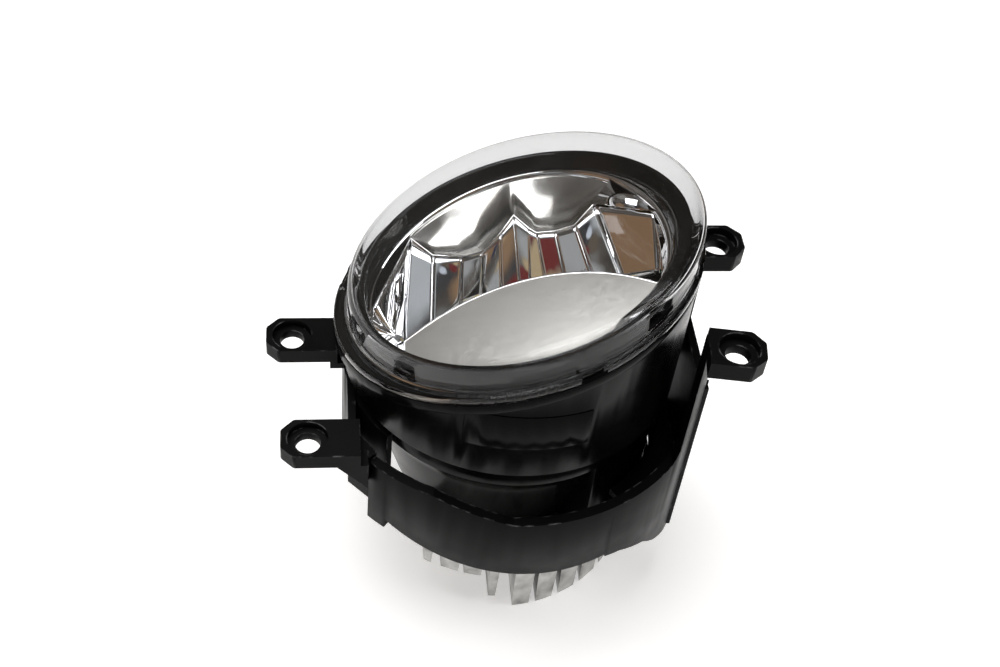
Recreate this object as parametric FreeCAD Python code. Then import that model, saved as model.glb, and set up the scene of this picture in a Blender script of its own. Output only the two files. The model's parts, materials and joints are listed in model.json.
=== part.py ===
"""LED fog light: a round lamp in an adjustable four-ear bracket.

Units are millimetres. The origin is on the lamp's axis, at the middle of the lens flange.
+Z points out of the lens, along the four fixing screws. +X runs across the ears.
The lens flange, lens face, inner bezel and reflector rim are cut by four sloping planes.
"""
import FreeCAD, Part
import math
import os

V = FreeCAD.Vector
UP = V(0, 0, 1)

# ---- driving dimensions -------------------------------------------------------------------
# sloping planes: rise per mm along X, rise per mm along Y, height on the axis
RIM = (0.335, -0.136, 0.0)          # lens flange, top face
FACE = (0.362, -0.070, 12.5)        # corner of the lens dome
BEZEL_TOP = (0.355, -0.110, 7.6)    # outer, upper edge of the black inner bezel
BEZEL_LIP = (0.410, -0.130, 3.9)    # its inner edge
MIRROR = (0.410, 0.0, -1.3)         # chromed rim of the reflector

FLANGE_R = 48.0                     # lens flange and housing rim
FLANGE_T = 2.4
LENS_R = 45.4                       # clear side wall of the lens
LENS_T = 2.6
CROWN_R = 300.0                     # slight crown of the lens face
LENS_ROUND = 3.0
SKIRT_DEPTH = 6.2                   # lens skirt, below the flange plane
FLANGE_AT = (-1.0, 0.6)             # middle of the lens flange and housing rim, off the dome's axis
NOTCH_ANGLES = (-73.0, -20.0, 107.0, 160.0)
NOTCH_R = 45.9

DRUM_R = 46.5                       # upper drum of the housing
DRUM_Z = -28.0
WAIST_R = 43.6                      # second step
WAIST_Z = -36.0
SIDE_BAY = (-62, 62, -70.0)         # straight right-hand side: from, to (degrees), bottom
TAIL_R = 31.7
TAIL_Z = -70.0
WALL = 2.2
CHANNEL = (42.5, 45.7, -7.8)        # glue channel: inner radius, outer radius, depth
NECK_R = 40.6                       # clear opening inside the channel
BACK_HOLE_R = 24.0

PIVOT_Y = 12.0                      # tilt axis, along X
PIVOT_Z = -40.0
PIVOT_R = 2.5
RUN = 0.05                          # radial running clearance

AIM_Y = 50.8                        # aiming screw, along Z
AIM_R = 2.5
NUT_Z = -33.0                       # middle of the nut at rest
NUT_H = 6.0
NUT_W = 9.0

CUP_X = 12.5                        # the two reflector cups
CUP_Y = 26.0
CUP_R = 13.6
CUP_DEPTH = 8.0
MIRROR_R = 39.4
BEZEL_R = MIRROR_R - 0.8            # clear opening of the bezel
MIRROR_FLOOR = -34.8                # lowest point of the reflector
SHELF_EDGE_R = 55.2                 # curved upper edge of the shelf cover
SHELF_EDGE_C = (-1.0, -58.2)
SHELF_BALL_R = 200.0                # slight dome of the shelf cover
SHELF_RISE = 1.0
LED_FACE_Y = -7.5                   # front of the LED board

PLATE_TOP = -70.5                   # heat sink base plate
PLATE_T = 3.6
SINK_R = 41.4
SINK_X = (-25.0, 38.0)
# fins: x, thickness, height of the tip
FINS = (
    (-22.4, 2.8, -83.0),
    (-16.2, 5.6, -82.5),
    (-9.7, 5.6, -82.5),
    (-3.4, 2.8, -92.5),
    (5.7, 5.8, -98.0),
    (12.8, 5.8, -98.0),
    (19.9, 5.8, -98.0),
    (26.9, 5.8, -98.0),
    (33.6, 5.4, -98.0),
)

EAR_DEPTH = 12.4
EAR_HOLE_R = 3.3
EAR_BORE_R = 5.3                    # counterbore for the screw's washer
# ear: hole centre x, y, top z, thickness, outward direction in degrees
EARS = {
    "upper_left": (-60.3, 1.0, -24.8, 4.6, 180.0),
    "lower_left": (-56.0, -35.4, -24.8, 4.6, 180.0),
    "upper_right": (53.8, 4.6, 7.1, 5.4, 0.0),
    "lower_right": (51.7, -34.5, 7.1, 5.4, -9.0),
}
BAND_R = 56.0                       # outside of the front band of the bracket
BAND_T = 2.8
LEFT_WALL = (-45.5, -43.4)          # flat side walls of the bracket, in x
RIGHT_WALL = (47.4, 49.6)
FLAT_X = -42.7                      # flat on the housing, beside the left wall
BLOCK = 400.0                       # size of the cutting blocks
REFLECTOR_SCREW_X = 30.0            # two screws that hold the reflector, at +-X
REFLECTOR_SCREW_Y = -10.5
PIVOT_SCREW_R = 1.6                 # thread of the pivot screws
PIVOT_BOSS_END = {-1: LEFT_WALL[1] + 0.5, 1: RIGHT_WALL[0] - 0.5}
BREATHER_ANGLE = 122.0              # breather on the drum, degrees from +X
GASKET_R = (24.9, 26.3)             # ring between housing and heat sink
DRIVER_Z = TAIL_Z + 6.0             # underside of the driver board
CONNECTOR_W = 19.0                  # plug socket: width, depth, middle and open end
CONNECTOR_D = 13.0
CONNECTOR_Y = 16.5
CONNECTOR_TIP = -97.0
CONTACTS_X = (-3.6, 3.6)            # two contacts
BUSH_R = 4.0                        # pressed into the bracket's side walls
BUSH_FLANGE_T = 0.9


# ---- helpers ------------------------------------------------------------------------------
def cyl(r, z0, z1, x=0.0, y=0.0):
    return Part.makeCylinder(r, z1 - z0, V(x, y, z0), UP)


def xcyl(r, x0, x1, y, z):
    return Part.makeCylinder(r, x1 - x0, V(x0, y, z), V(1, 0, 0))


def box(x0, x1, y0, y1, z0, z1):
    return Part.makeBox(x1 - x0, y1 - y0, z1 - z0, V(x0, y0, z0))


def tube(r_in, r_out, z0, z1, x=0.0, y=0.0):
    return cyl(r_out, z0, z1, x, y).cut(cyl(r_in, z0 - 1, z1 + 1, x, y))


def height(plane, x, y):
    return plane[0] * x + plane[1] * y + plane[2]


def below(plane, lift=0.0):
    """A large block whose top face lies on the sloping plane, lifted along Z."""
    normal = V(-plane[0], -plane[1], 1)
    block = box(-BLOCK / 2, BLOCK / 2, -BLOCK / 2, BLOCK / 2, -BLOCK, 0)
    block.Placement = FreeCAD.Placement(V(0, 0, plane[2] + lift), FreeCAD.Rotation(UP, normal))
    return block


def crown(plane, radius, rim_r, inset=0.0, at=(0.0, 0.0), rise=None):
    """A large ball that crosses the sloping plane at rim_r, or stands rise above it."""
    normal = V(-plane[0], -plane[1], 1).normalize()
    sag = rim_r ** 2 / (2 * radius) if rise is None else rise
    middle = V(at[0], at[1], height(plane, *at)) + normal * (sag - radius)
    return Part.makeSphere(radius - inset, middle)


def prism(points, z0, z1):
    face = Part.Face(Part.makePolygon([V(x, y, z0) for x, y in points + points[:1]]))
    return face.extrude(V(0, 0, z1 - z0))


def prism_y(points, y0, y1):
    face = Part.Face(Part.makePolygon([V(x, y0, z) for x, z in points + points[:1]]))
    return face.extrude(V(0, y1 - y0, 0))


def fuse(shapes):
    return shapes[0].multiFuse(shapes[1:]).removeSplitter()


def sector(angle0, angle1, r, z0, z1):
    """A wedge about the axis, from angle0 to angle1 in degrees."""
    wedge = Part.makeCylinder(r, z1 - z0, V(0, 0, z0), UP, angle1 - angle0)
    wedge.rotate(V(0, 0, 0), UP, angle0)
    return wedge


def polar(r, degrees):
    return r * math.cos(math.radians(degrees)), r * math.sin(math.radians(degrees))


def screw(x, y, z_seat, length, r, head_r, head_h):
    """A pan-head screw, head up, its seat at z_seat."""
    head = cyl(head_r, z_seat, z_seat + head_h, x, y)
    recess = box(x - head_r * 0.5, x + head_r * 0.5, y - 0.4, y + 0.4, z_seat + head_h * 0.4, z_seat + 9)
    cross = box(x - 0.4, x + 0.4, y - head_r * 0.5, y + head_r * 0.5, z_seat + head_h * 0.4, z_seat + 9)
    return fuse([head, cyl(r, z_seat - length, z_seat, x, y)]).cut(recess).cut(cross)


def write(name, shape):
    shape.exportStep("parts/%s.step" % name)
    print("%-20s solids %d  valid %s  volume %.1f" % (name, len(shape.Solids), shape.isValid(), shape.Volume))


# ---- front: lens, seal, bezel ---------------------------------------------------------------
def outer_lens():
    dome = cyl(LENS_R, -40, 60).common(crown(FACE, CROWN_R, LENS_R)).cut(below(RIM, -FLANGE_T))
    corner = [e for e in dome.Edges if e.BoundBox.ZMax > 20 and e.BoundBox.XLength > 60]
    dome = dome.makeFillet(LENS_ROUND, corner)
    flange = cyl(FLANGE_R, -40, 40, *FLANGE_AT).common(below(RIM)).cut(below(RIM, -FLANGE_T))
    skirt = cyl(LENS_R, -40, 40).common(below(RIM, -FLANGE_T / 2)).cut(below(RIM, -SKIRT_DEPTH))
    hollow = cyl(LENS_R - LENS_T, -60, 60).common(crown(FACE, CROWN_R, LENS_R, LENS_T))
    for angle in NOTCH_ANGLES:
        notch = box(NOTCH_R, FLANGE_R + 5, -3.2, 3.2, -40, 40)
        notch.rotate(V(0, 0, 0), UP, angle)
        flange = flange.cut(notch)
    return fuse([dome, flange, skirt]).cut(hollow)


def lens_seal():
    ring = tube(CHANNEL[0] + 0.1, CHANNEL[1] - 0.1, -40, 40)
    return ring.common(below(RIM, -SKIRT_DEPTH)).cut(below(RIM, CHANNEL[2]))


def slice_wire(r, plane, lift=0.0):
    """The ellipse where a cylinder about the axis meets a sloping plane."""
    cut = cyl(r, -80, 80).common(below(plane, lift))
    top = max(cut.Faces, key=lambda face: face.CenterOfMass.z)
    return top.OuterWire


def inner_bezel():
    """Black ring that funnels from the lens wall down to the reflector's rim."""
    outside = LENS_R - LENS_T - 0.4
    ring = tube(BEZEL_R, outside, -60, 60).common(below(BEZEL_TOP)).cut(below(MIRROR, 0.3))
    ring = ring.cut(tube(NECK_R - 0.2, FLANGE_R, -60, 60).common(below(RIM, -FLANGE_T + 0.1)))
    funnel = Part.makeLoft([slice_wire(BEZEL_R, BEZEL_LIP), slice_wire(outside - 0.8, BEZEL_TOP, 0.2)], True, True)
    return ring.cut(funnel)


# ---- optics -----------------------------------------------------------------------------------
def facet_line():
    """Plan of the faceted wall in front of the two cups, from left to right."""
    left = []
    for angle in (180.0, 222.0, 262.0, 292.0):
        dx, dy = polar(CUP_R, angle)
        left.append((-CUP_X + dx, CUP_Y + dy))
    peak = (0.0, CUP_Y - math.sqrt(CUP_R ** 2 - CUP_X ** 2))
    right = [(-x, y) for x, y in reversed(left)]
    return left + [peak] + right


def reflector():
    outer = cyl(MIRROR_R - 0.9, -60, 40).common(below(MIRROR)).cut(below(MIRROR, -21.6))
    outer = outer.common(box(-60, 60, LED_FACE_Y + 2.0, 60, MIRROR_FLOOR, 60))
    rim = tube(MIRROR_R - 3.0, MIRROR_R, -60, 40).common(below(MIRROR)).cut(below(MIRROR, -1.6))
    line = facet_line()
    bay = [(-60, -30), (60, -30), (60, line[-1][1])] + list(reversed(line)) + [(-60, line[0][1])]
    cavity = prism(bay, MIRROR_FLOOR + 1.6, 60).common(cyl(MIRROR_R - 2.9, -80, 60)).cut(below(MIRROR, -20.0))
    shape = fuse([outer, rim]).cut(cavity)
    ball_r = (CUP_R ** 2 + CUP_DEPTH ** 2) / (2 * CUP_DEPTH)
    for side in (-1, 1):
        ball = crown(MIRROR, ball_r, 0, at=(side * CUP_X, CUP_Y), rise=2 * ball_r - CUP_DEPTH)
        shape = shape.cut(ball.common(cyl(MIRROR_R - 2.9, -60, 60)))
        pocket = cyl(CUP_R - 2.6, -80, 60, side * CUP_X, CUP_Y).common(cyl(MIRROR_R - 2.9, -80, 60))
        shape = shape.cut(pocket.common(below(MIRROR, -CUP_DEPTH - 3.4)))
    for side in (-1, 1):
        x = side * REFLECTOR_SCREW_X
        inner, outer_x = sorted((x - side * 4, side * MIRROR_R))
        tab = box(inner, outer_x, REFLECTOR_SCREW_Y - 4, LED_FACE_Y + 5.0, -1, 1)
        tab = tab.common(cyl(MIRROR_R - 1.2, -2, 2))
        tab.translate(V(0, 0, reflector_tab_z(side) - 1))
        shape = fuse([shape, tab]).cut(cyl(1.4, -80, 60, x, REFLECTOR_SCREW_Y))
    seat = cyl(MIRROR_R - 1.0, -60, 60).common(cyl(SHELF_EDGE_R + 0.1, -60, 60, *SHELF_EDGE_C))
    return shape.cut(seat.cut(below(MIRROR, -8.0)))


def reflector_tab_z(side):
    """Top of a reflector tab."""
    return height(MIRROR, side * REFLECTOR_SCREW_X, 0) - 12.0


def reflector_screws():
    return Part.makeCompound([
        screw(side * REFLECTOR_SCREW_X, REFLECTOR_SCREW_Y, reflector_tab_z(side), 9, 1.2, 2.6, 1.8)
        for side in (-1, 1)])


def shelf_cover():
    plan = cyl(MIRROR_R - 1.1, -60, 60).common(cyl(SHELF_EDGE_R, -60, 60, *SHELF_EDGE_C))
    top = crown(MIRROR, SHELF_BALL_R, 0, at=(0, -17), rise=SHELF_RISE)
    under = crown(MIRROR, SHELF_BALL_R, 0, 1.6, at=(0, -17), rise=SHELF_RISE)
    lip = tube(SHELF_EDGE_R - 1.6, SHELF_EDGE_R, -60, 60, *SHELF_EDGE_C)
    lip = lip.common(plan).common(top).cut(below(MIRROR, -4.5))
    return fuse([plan.common(top).cut(under), lip])


def board_outline(half_width, bottom, drop):
    """Upright plate whose top edge runs parallel to the sloping mirror rim."""
    ends = [(x, height(MIRROR, x, 0) - drop) for x in (half_width, -half_width)]
    return [(-half_width, bottom), (half_width, bottom)] + ends


def board_screw_places():
    return [(side * 18.0, -26.0) for side in (-1, 1)]


def led_board():
    plate = prism_y(board_outline(22.0, -31.0, 7.5), LED_FACE_Y - 1.5, LED_FACE_Y)
    for x, z in board_screw_places():
        plate = plate.cut(Part.makeCylinder(1.4, 9, V(x, LED_FACE_Y - 5, z), V(0, 1, 0)))
    return plate


def led_chips():
    chips = []
    for side in (-1, 1):
        for step in (-2.6, 2.6):
            x = side * CUP_X + step
            z = height(MIRROR, x, 0) - 13.5
            base = box(x - 1.8, x + 1.8, LED_FACE_Y, LED_FACE_Y + 0.7, z - 1.8, z + 1.8)
            lens = Part.makeSphere(1.3, V(x, LED_FACE_Y + 0.2, z))
            chips.append(fuse([base, lens.common(box(x - 2, x + 2, LED_FACE_Y, LED_FACE_Y + 3, z - 2, z + 2))]))
    return Part.makeCompound(chips)


def thermal_pad():
    pad = prism_y(board_outline(21.0, -30.0, 8.0), LED_FACE_Y - 2.0, LED_FACE_Y - 1.5)
    for x, z in board_screw_places():
        pad = pad.cut(Part.makeCylinder(1.4, 9, V(x, LED_FACE_Y - 5, z), V(0, 1, 0)))
    return pad


def board_screws():
    screws = []
    for x, z in board_screw_places():
        one = screw(0, 0, 0, 6.0, 1.2, 2.4, 1.5)
        one.rotate(V(0, 0, 0), V(1, 0, 0), -90)
        one.translate(V(x, LED_FACE_Y, z))
        screws.append(one)
    return Part.makeCompound(screws)


# ---- housing --------------------------------------------------------------------------------
def lamp_housing():
    top = 40.0
    outline = [(0, top), (DRUM_R, top), (DRUM_R, DRUM_Z), (WAIST_R + 0.6, DRUM_Z), (WAIST_R, WAIST_Z),
               (WAIST_R - 2.6, WAIST_Z - 2.5), (TAIL_R, TAIL_Z), (0, TAIL_Z)]
    inside = [(0, top + 1), (NECK_R, top + 1), (NECK_R, DRUM_Z + WALL), (WAIST_R - WALL, DRUM_Z + WALL),
              (WAIST_R - WALL, WAIST_Z + 0.5), (WAIST_R - 2.6 - WALL, WAIST_Z - 2.0),
              (TAIL_R - WALL, TAIL_Z + WALL), (0, TAIL_Z + WALL)]
    body = turned(outline)
    rim = cyl(FLANGE_R, -40, 40, *FLANGE_AT).cut(below(RIM, -FLANGE_T - 3.2))
    body = fuse([body, rim]).common(below(RIM, -FLANGE_T - 0.2))
    bosses = []
    for side in (-1, 1):
        x = side * REFLECTOR_SCREW_X
        post = cyl(3.3, -60, reflector_tab_z(side) - 2.0, x, REFLECTOR_SCREW_Y)
        bosses.append(post.common(turned(outline)))
    for x, y in sink_screw_places():
        boss = cyl(3.4, TAIL_Z, TAIL_Z + 11, x, y).cut(cyl(BACK_HOLE_R, -80, 0))
        bosses.append(boss.common(turned(outline)))
    wide = cyl(DRUM_R - WALL, DRUM_Z + WALL, 40).common(below(RIM, -10.5))
    body = body.cut(turned(inside)).cut(wide)
    body = fuse([body] + bosses + [side_bay(*SIDE_BAY, 0.0)])
    body = body.cut(side_bay(*SIDE_BAY, WALL))
    start, end, bottom = SIDE_BAY
    body = body.fuse(tube(WAIST_R - 1.5, WAIST_R + 1.9, bottom + 0.5, bottom + 2.5).common(sector(start, 20, 60, -80, 0)))
    body = body.cut(box(-60, FLAT_X, -40, 40, -80, DRUM_Z))
    body = body.cut(tube(CHANNEL[0], CHANNEL[1], -60, 60).cut(below(RIM, CHANNEL[2])))
    body = body.cut(cyl(BACK_HOLE_R, TAIL_Z - 1, TAIL_Z + WALL + 1))
    for side in (-1, 1):
        x = side * REFLECTOR_SCREW_X
        body = body.cut(cyl(1.25, reflector_tab_z(side) - 12, 60, x, REFLECTOR_SCREW_Y))
    for x, y in sink_screw_places():
        body = body.cut(cyl(1.55, TAIL_Z - 1, TAIL_Z + 8, x, y))
    body = fuse([body, pivot_boss(-1), pivot_boss(1), aim_lug()])
    for side in (-1, 1):
        low = min(side * 30, side * 60)
        body = body.cut(xcyl(PIVOT_SCREW_R + RUN, low, low + 30, PIVOT_Y, PIVOT_Z))
    return body


def side_bay(start, end, bottom, inset):
    """Fuller, straight side of the lower housing, or its hollow when inset by the wall."""
    shape = cyl(WAIST_R - inset, bottom + inset, WAIST_Z + 2 * inset)
    shape = shape.common(sector(start + inset, end - inset, 60, -80, 0))
    return shape.cut(cyl(TAIL_R - 2 * WALL + 2 * inset, -80, 0))


def turned(outline):
    wire = Part.makePolygon([V(r, 0, z) for r, z in outline + outline[:1]])
    return Part.Face(wire).revolve(V(0, 0, 0), UP, 360)


def pivot_boss(side):
    """Side boss that takes the pivot screw."""
    end = PIVOT_BOSS_END[side]
    start = side * 34.0
    return xcyl(4.6, min(start, end), max(start, end), PIVOT_Y, PIVOT_Z)


def aim_lug():
    """Arm at the back that carries the aiming nut in an open pocket."""
    arm = box(-8, 8, 40.5, 56.4, -38.6, -27.4).cut(cyl(40.4, -60, 0))
    pocket = box(-NUT_W / 2 - 0.4, NUT_W / 2 + 0.4, AIM_Y - NUT_W / 2 - 0.6, 60, NUT_Z - NUT_H / 2 - 0.6,
                 NUT_Z + NUT_H / 2 + 0.6)
    slot = box(-3.4, 3.4, AIM_Y - 3.8, 60, -60, 0)
    return arm.cut(pocket).cut(slot)


def pad_plate():
    """Blank rectangular plate on the near side of the drum."""
    plate = tube(DRUM_R - 0.2, DRUM_R + 0.25, -17.0, -4.5)
    return plate.common(sector(-112, -71.5, 60, -40, 40))


def breather_cap():
    """Soft vent cap on its spigot, on the far side of the cone."""
    cap = tube(2.6, 4.2, 1.8, 7.0).fuse(cyl(4.2, 7.0, 8.4))
    return placed_on_cone(cap.cut(cyl(0.8, 6, 9)))


def breather_spigot():
    return placed_on_cone(tube(1.4, 2.5, -3.5, 6.8))


def placed_on_cone(shape):
    x, y = polar(36.7, BREATHER_ANGLE)
    shape.rotate(V(0, 0, 0), V(0, 1, 0), 90)
    shape.rotate(V(0, 0, 0), UP, BREATHER_ANGLE)
    shape.translate(V(x, y, -54.0))
    return shape


# ---- back: heat sink, driver, connector --------------------------------------------------------
def sink_screw_places():
    return [polar(28.6, angle) for angle in (38.0, 142.0, -142.0, -38.0)]


def sink_plan(margin, z0, z1):
    plate = cyl(SINK_R - margin, z0, z1)
    return plate.common(box(SINK_X[0] + margin, SINK_X[1] - margin, -60, 60, z0 - 1, z1 + 1))


def fin(x, thick, tip_z, y0, y1):
    """Drafted fin, a little thinner at the tip than at the plate."""
    root = PLATE_TOP - PLATE_T + 0.2
    half, tip = thick / 2 + 0.2, thick / 2 - 0.35
    return prism_y([(x - half, root), (x + half, root), (x + tip, tip_z), (x - tip, tip_z)], y0, y1)


def heat_sink():
    shapes = [sink_plan(0, PLATE_TOP - PLATE_T, PLATE_TOP)]
    for x, thick, tip_z in FINS:
        back_end = 8.0 if abs(x) < CONNECTOR_W / 2 + 5 else SINK_R
        shapes.append(fin(x, thick, tip_z, -SINK_R, back_end).common(cyl(SINK_R, -100, -60)))
    shapes.append(cyl(BACK_HOLE_R - 0.3, PLATE_TOP - 0.1, TAIL_Z + 4))
    post = prism_y(board_outline(21.0, TAIL_Z + 1, 8.5), LED_FACE_Y - 9.0, LED_FACE_Y - 2.0)
    shapes.append(post.common(cyl(BACK_HOLE_R - 0.3, -80, 60)))
    for x, y in driver_screw_places():
        shapes.append(cyl(2.6, TAIL_Z + 3, DRIVER_Z, x, y))
    body = fuse(shapes)
    body = body.cut(tube(*GASKET_R, PLATE_TOP - 0.5, PLATE_TOP + 0.1))
    for x, y in sink_screw_places():
        body = body.cut(cyl(1.8, PLATE_TOP - PLATE_T - 1, PLATE_TOP + 1, x, y))
        body = body.cut(cyl(3.6, -120, PLATE_TOP - PLATE_T + 0.6, x, y))
    for x, z in board_screw_places():
        body = body.cut(Part.makeCylinder(1.25, 6.2, V(x, LED_FACE_Y - 8.0, z), V(0, 1, 0)))
    for x, y in driver_screw_places():
        body = body.cut(cyl(0.95, DRIVER_Z - 6, DRIVER_Z + 1, x, y))
    hole = box(-CONNECTOR_W / 2 + 0.8, CONNECTOR_W / 2 - 0.8, CONNECTOR_Y - 4.2, CONNECTOR_Y + 4.2, -90, -60)
    return body.cut(hole)


def driver_screw_places():
    return [(-20.0, 0.5), (20.0, 0.5), (0.0, 0.5)]


def heat_sink_gasket():
    return tube(GASKET_R[0] + 0.05, GASKET_R[1] - 0.05, PLATE_TOP - 0.5, TAIL_Z)


def heat_sink_screws():
    screws = []
    for x, y in sink_screw_places():
        one = screw(0, 0, 0, 10.5, 1.5, 3.2, 2.4)
        one.rotate(V(0, 0, 0), V(1, 0, 0), 180)
        one.translate(V(x, y, PLATE_TOP - PLATE_T + 0.6))
        screws.append(one)
    return Part.makeCompound(screws)


def driver_board():
    board = cyl(BACK_HOLE_R - 0.8, DRIVER_Z, DRIVER_Z + 1.6).common(box(-30, 30, -3.5, 30, -80, 0))
    for x, y in driver_screw_places():
        board = board.cut(cyl(1.3, -80, 0, x, y))
    for x in CONTACTS_X:
        board = board.cut(cyl(1.0, -80, 0, x, CONNECTOR_Y))
    return board


def driver_components():
    top = DRIVER_Z + 1.6
    choke = tube(1.8, 4.6, top, top + 5.0, -12.5, 9.0)
    chip = box(-4.0, 4.0, 6.0, 11.0, top, top + 1.4)
    capacitors = [cyl(3.2, top, top + 7.5, 9.5, 12.0), cyl(3.2, top, top + 7.5, 16.2, 7.5)]
    header = box(-6.0, 6.0, -2.9, -1.3, top, top + 3.0)
    return Part.makeCompound([choke, chip, header] + capacitors)


def driver_screws():
    places = driver_screw_places()
    return Part.makeCompound([screw(x, y, DRIVER_Z + 1.6, 5.0, 0.9, 1.8, 1.2) for x, y in places])


def led_ribbon():
    """Flat flexible lead from the LED board down to the driver's header."""
    top = DRIVER_Z + 4.6
    points = [(LED_FACE_Y, -24.0), (LED_FACE_Y + 0.4, -24.0), (LED_FACE_Y + 0.4, top + 1.6),
              (-1.5, top + 0.6), (-1.5, top), (-2.7, top), (LED_FACE_Y, top + 1.4)]
    face = Part.Face(Part.makePolygon([V(-4, y, z) for y, z in points + points[:1]]))
    return face.extrude(V(8, 0, 0))


def connector_socket():
    base = PLATE_TOP - PLATE_T
    w, d = CONNECTOR_W / 2, CONNECTOR_D / 2
    flange = box(-w - 2.4, w + 2.4, CONNECTOR_Y - d - 1.4, CONNECTOR_Y + d + 1.4, base - 2.8, base - 0.8)
    shell = box(-w, w, CONNECTOR_Y - d, CONNECTOR_Y + d, CONNECTOR_TIP, base - 1.5)
    shell = shell.makeFillet(2.5, [e for e in shell.Edges if abs(e.tangentAt(e.FirstParameter).z) > 0.99])
    plug = box(-w + 1.2, w - 1.2, CONNECTOR_Y - 3.8, CONNECTOR_Y + 3.8, base - 1.5, TAIL_Z + 4.5)
    body = fuse([flange, shell, plug])
    hollow = box(-w + 1.8, w - 1.8, CONNECTOR_Y - d + 1.8, CONNECTOR_Y + d - 1.8, CONNECTOR_TIP - 1, base - 5.0)
    catch = box(-3.0, 3.0, CONNECTOR_Y + d - 0.5, CONNECTOR_Y + d + 1.6, CONNECTOR_TIP + 4, CONNECTOR_TIP + 9)
    body = fuse([body.cut(hollow), catch])
    for x in CONTACTS_X:
        body = body.cut(box(x - 0.8, x + 0.8, CONNECTOR_Y - 0.4, CONNECTOR_Y + 0.4, -90, -50))
    return body


def connector_pins():
    pins = []
    for x in CONTACTS_X:
        blade = box(x - 0.8, x + 0.8, CONNECTOR_Y - 0.4, CONNECTOR_Y + 0.4, CONNECTOR_TIP + 4.5, TAIL_Z + 4.5)
        leg = cyl(0.4, TAIL_Z + 4.5, DRIVER_Z + 2.4, x, CONNECTOR_Y)
        pins.append(fuse([blade, leg]))
    return Part.makeCompound(pins)


def connector_seal():
    base = PLATE_TOP - PLATE_T
    w, d = CONNECTOR_W / 2, CONNECTOR_D / 2
    ring = box(-w - 1.6, w + 1.6, CONNECTOR_Y - d - 0.8, CONNECTOR_Y + d + 0.8, base - 0.8, base)
    return ring.cut(box(-w + 0.8, w - 0.8, CONNECTOR_Y - 4.2, CONNECTOR_Y + 4.2, base - 2, base + 1))


# ---- bracket and aiming gear -----------------------------------------------------------------
def ear_blank(x, y, top, thick, turn, root):
    """Tab with a chamfered end and a rounded outline, reaching root mm inwards."""
    d, c = EAR_DEPTH / 2, 3.4
    end = 7.0
    points = [(-root, -d), (end - c, -d), (end, -d + c), (end, d - c), (end - c, d), (-root, d)]
    tab = prism(points, top - thick, top)
    tab = tab.makeFillet(1.4, [e for e in tab.Edges if e.BoundBox.ZLength > 1 and e.BoundBox.XMin > 0])
    tab.rotate(V(0, 0, 0), UP, turn)
    tab.translate(V(x, y, 0))
    return tab


def ear_holes():
    tools = []
    for x, y, top, thick, _ in EARS.values():
        tools.append(cyl(EAR_HOLE_R, top - thick - 3, top + 3, x, y))
        tools.append(cyl(EAR_BORE_R, top - thick * 0.45, top + 3, x, y))
    return tools


def front_band():
    """Curved band across the front, its feet, and the ledges that close the gap beside the lamp."""
    ring = tube(BAND_R - BAND_T, BAND_R, -86, 10)
    deep = ring.common(sector(-136, -27, 80, -80, 20))
    lower = (-0.09, 0.40, -36.6)
    shoulder = [(43.0, -19.5), (60.0, -19.5), (60.0, 20.0), (43.0, 20.0)]
    body = deep.cut(below(lower)).cut(prism_y(shoulder, -80, -10))
    left_foot = ring.common(sector(-136, -130, 80, -54.3, -40))
    skirt = fuse([ring.common(sector(-64, -31, 80, -88, EARS["lower_right"][2])),
                  ring.common(sector(-32, -23, 80, -88, -19.5))])
    hem = [(16, -58.0), (29.3, -61.2), (37.5, -66.2), (42.3, -72.5), (47.0, -77.5), (50.0, -79.5),
           (60, -90), (16, -90)]
    skirt = skirt.cut(prism_y(hem, -60, -10))
    top = [(-70, -30.6), (-24, -30.6), (-3, -36.9), (42, -36.9), (44, -34), (44, 20), (-70, 20)]
    body = fuse([body, left_foot, skirt]).cut(prism_y(top, -80, -20))
    return fuse([body, side_ledge(-63.0, -50, 8), side_ledge(-50.5, -54, -4)])


def side_ledge(z, start, end):
    """Flat ledge between the right wall and the lamp's straight side."""
    ledge = tube(44.8, BAND_R - 1, z, z + 2.0).common(sector(start, end, 80, -70, -40))
    inside_wall = ledge.common(box(0, RIGHT_WALL[1] - 0.4, -60, 20, -70, -40))
    return inside_wall.fuse(ledge.common(sector(start, -23, 80, -70, -40)))


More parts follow.
